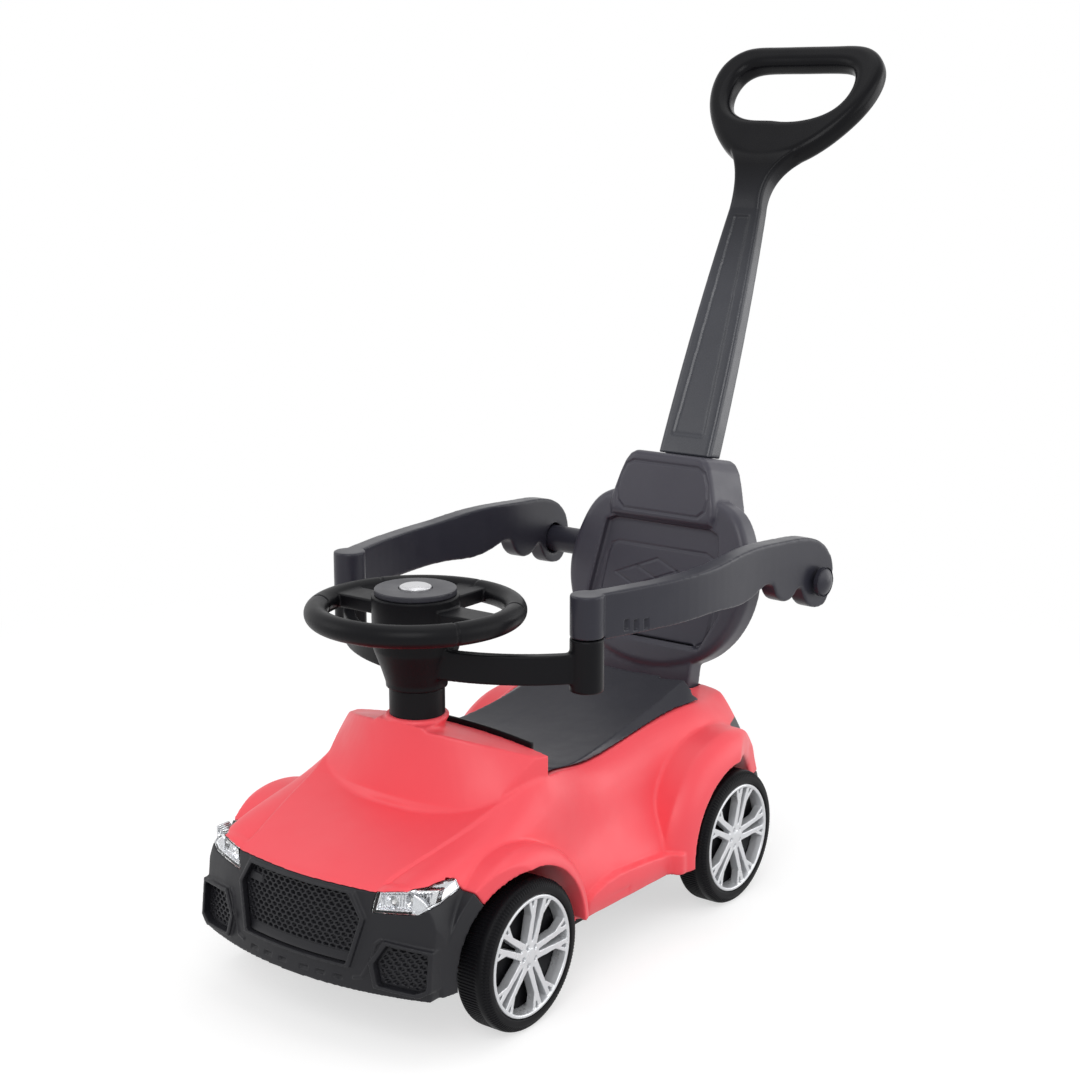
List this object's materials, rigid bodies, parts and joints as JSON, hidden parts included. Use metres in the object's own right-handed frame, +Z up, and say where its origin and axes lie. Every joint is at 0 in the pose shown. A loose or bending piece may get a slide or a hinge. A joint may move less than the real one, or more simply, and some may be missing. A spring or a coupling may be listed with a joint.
{
  "type": "push car with handle",
  "caption": "Ride-on push car with moulded body, lidded storage seat, backrest, tall push handle, swing-out guard rail and linked front steering.",
  "frame": {"origin": "on the floor, midway between the axles, on the middle plane of the car", "axes": "the car faces -Y, +Z is up, +X is its left side"},
  "size_m": [0.4176, 0.9641, 0.9394],
  "materials": {
    "body_red": "satin moulded red",
    "black_plastic": "satin moulded black",
    "seat_plastic": "fine-grained moulded black",
    "clear_lens": "clear moulded lens",
    "reflector": "bright metallised",
    "tail_lens": "gloss deep red",
    "tyre": "matt black with fine ribs",
    "rim_silver": "silver lacquer",
    "silver_plastic": "silver lacquer",
    "grey_plastic": "plain grey",
    "steel": "plain bright steel"
  },
  "bodies": {
    "car": {"backrest": "seat_plastic", "backrest_cover": "black_plastic", "body_shell": "body_red", "chassis_pan": "black_plastic", "chassis_screws": "steel", "column_sleeve": "black_plastic", "foot_rest_screws": "steel", "front_bumper": "black_plastic", "front_grille": "black_plastic", "guard_cross_tube": "black_plastic", "guard_front_rail": "black_plastic", "guard_pivot_pins": "steel", "kingpins": "steel", "left_head_lamp_lens": "clear_lens", "left_head_lamp_reflector": "reflector", "left_intake_grille": "black_plastic", "left_tail_lamp": "tail_lens", "rear_axle": "steel", "rear_axle_nuts": "steel", "rear_axle_spacers": "black_plastic", "rear_bumper": "black_plastic", "right_head_lamp_lens": "clear_lens", "right_head_lamp_reflector": "reflector", "right_intake_grille": "black_plastic", "right_tail_lamp": "tail_lens", "seat_hinge_pin": "steel", "steering_bridge": "black_plastic", "storage_tub": "black_plastic"},
    "steering": {"steering_wheel": "black_plastic", "hub_cover": "black_plastic", "steering_rod": "steel", "sound_module": "grey_plastic", "battery_cells": "steel"},
    "horn": {"horn_button": "silver_plastic"},
    "left_knuckle": {"left_knuckle": "black_plastic", "left_stub_axle": "steel", "left_axle_nut": "steel"},
    "right_knuckle": {"right_knuckle": "black_plastic", "right_stub_axle": "steel", "right_axle_nut": "steel"},
    "tie_rod": {"tie_rod": "black_plastic"},
    "seat": {"seat_lid": "seat_plastic"},
    "left_arm": {"left_guard_arm": "black_plastic"},
    "right_arm": {"right_guard_arm": "black_plastic"},
    "left_knob": {"left_release_knob": "black_plastic"},
    "right_knob": {"right_release_knob": "black_plastic"},
    "left_rest": {"left_foot_rest": "black_plastic"},
    "right_rest": {"right_foot_rest": "black_plastic"},
    "handle": {"push_handle": "black_plastic"},
    "front_left_wheel": {"front_left_tyre": "tyre", "front_left_rim": "rim_silver"},
    "front_right_wheel": {"front_right_tyre": "tyre", "front_right_rim": "rim_silver"},
    "rear_left_wheel": {"rear_left_tyre": "tyre", "rear_left_rim": "rim_silver"},
    "rear_right_wheel": {"rear_right_tyre": "tyre", "rear_right_rim": "rim_silver"}
  },
  "joints": [
    {"name": "steering_turn", "type": "hinge", "parent": "car", "child": "steering", "pos_m": [0, -0.15, 0.381], "axis": [0, 0, 1], "range_deg": [-25, 25]},
    {"name": "horn_press", "type": "slide", "parent": "steering", "child": "horn", "axis": [0, 0, -1], "range_m": [0, 0.0025], "stiffness_N_per_m": 400, "springref_m": -0.001},
    {"name": "left_knuckle_turn", "type": "hinge", "parent": "car", "child": "left_knuckle", "pos_m": [0.118, -0.19, 0.075], "axis": [0, 0, 1], "range_deg": [-15, 15]},
    {"name": "right_knuckle_turn", "type": "hinge", "parent": "car", "child": "right_knuckle", "pos_m": [-0.118, -0.19, 0.075], "axis": [0, 0, 1], "range_deg": [-15, 15]},
    {"name": "tie_rod_turn", "type": "hinge", "parent": "left_knuckle", "child": "tie_rod", "pos_m": [0.118, -0.165, 0.0945], "axis": [0, 0, 1], "range_deg": [-15, 15]},
    {"name": "seat_open", "type": "hinge", "parent": "car", "child": "seat", "pos_m": [0, 0.215, 0.221], "axis": [-1, 0, 0], "range_deg": [0, 25]},
    {"name": "handle_pull", "type": "slide", "parent": "car", "child": "handle", "axis": [0, 0.4003, 0.9164], "range_m": [0, 0.075]},
    {"name": "left_arm_swing", "type": "hinge", "parent": "car", "child": "left_arm", "pos_m": [0.155, -0.076, 0.385], "axis": [0, 0, -1], "range_deg": [0, 80]},
    {"name": "left_knob_press", "type": "slide", "parent": "left_arm", "child": "left_knob", "axis": [-0.9973, 0.0732, 0], "range_m": [0, 0.003], "stiffness_N_per_m": 400, "springref_m": -0.001},
    {"name": "left_rest_swing", "type": "hinge", "parent": "car", "child": "left_rest", "pos_m": [0.118, -0.052, 0.057], "axis": [0, 0, -1], "range_deg": [0, 90]},
    {"name": "front_left_wheel_spin", "type": "hinge", "parent": "left_knuckle", "child": "front_left_wheel", "pos_m": [0.156, -0.19, 0.075], "axis": [1, 0, 0], "continuous": true},
    {"name": "rear_left_wheel_spin", "type": "hinge", "parent": "car", "child": "rear_left_wheel", "pos_m": [0.156, 0.19, 0.075], "axis": [1, 0, 0], "continuous": true},
    {"name": "right_arm_swing", "type": "hinge", "parent": "car", "child": "right_arm", "pos_m": [-0.155, -0.076, 0.385], "axis": [0, 0, 1], "range_deg": [0, 80]},
    {"name": "right_knob_press", "type": "slide", "parent": "right_arm", "child": "right_knob", "axis": [0.9973, 0.0732, 0], "range_m": [0, 0.003], "stiffness_N_per_m": 400, "springref_m": -0.001},
    {"name": "right_rest_swing", "type": "hinge", "parent": "car", "child": "right_rest", "pos_m": [-0.118, -0.052, 0.057], "axis": [0, 0, 1], "range_deg": [0, 90]},
    {"name": "front_right_wheel_spin", "type": "hinge", "parent": "right_knuckle", "child": "front_right_wheel", "pos_m": [-0.156, -0.19, 0.075], "axis": [1, 0, 0], "continuous": true},
    {"name": "rear_right_wheel_spin", "type": "hinge", "parent": "car", "child": "rear_right_wheel", "pos_m": [-0.156, 0.19, 0.075], "axis": [1, 0, 0], "continuous": true}
  ],
  "couplings": [
    {"joint": "left_knuckle_turn", "follows": "steering_turn", "ratio": 0.6},
    {"joint": "right_knuckle_turn", "follows": "steering_turn", "ratio": 0.6},
    {"joint": "tie_rod_turn", "follows": "steering_turn", "ratio": -0.6}
  ]
}
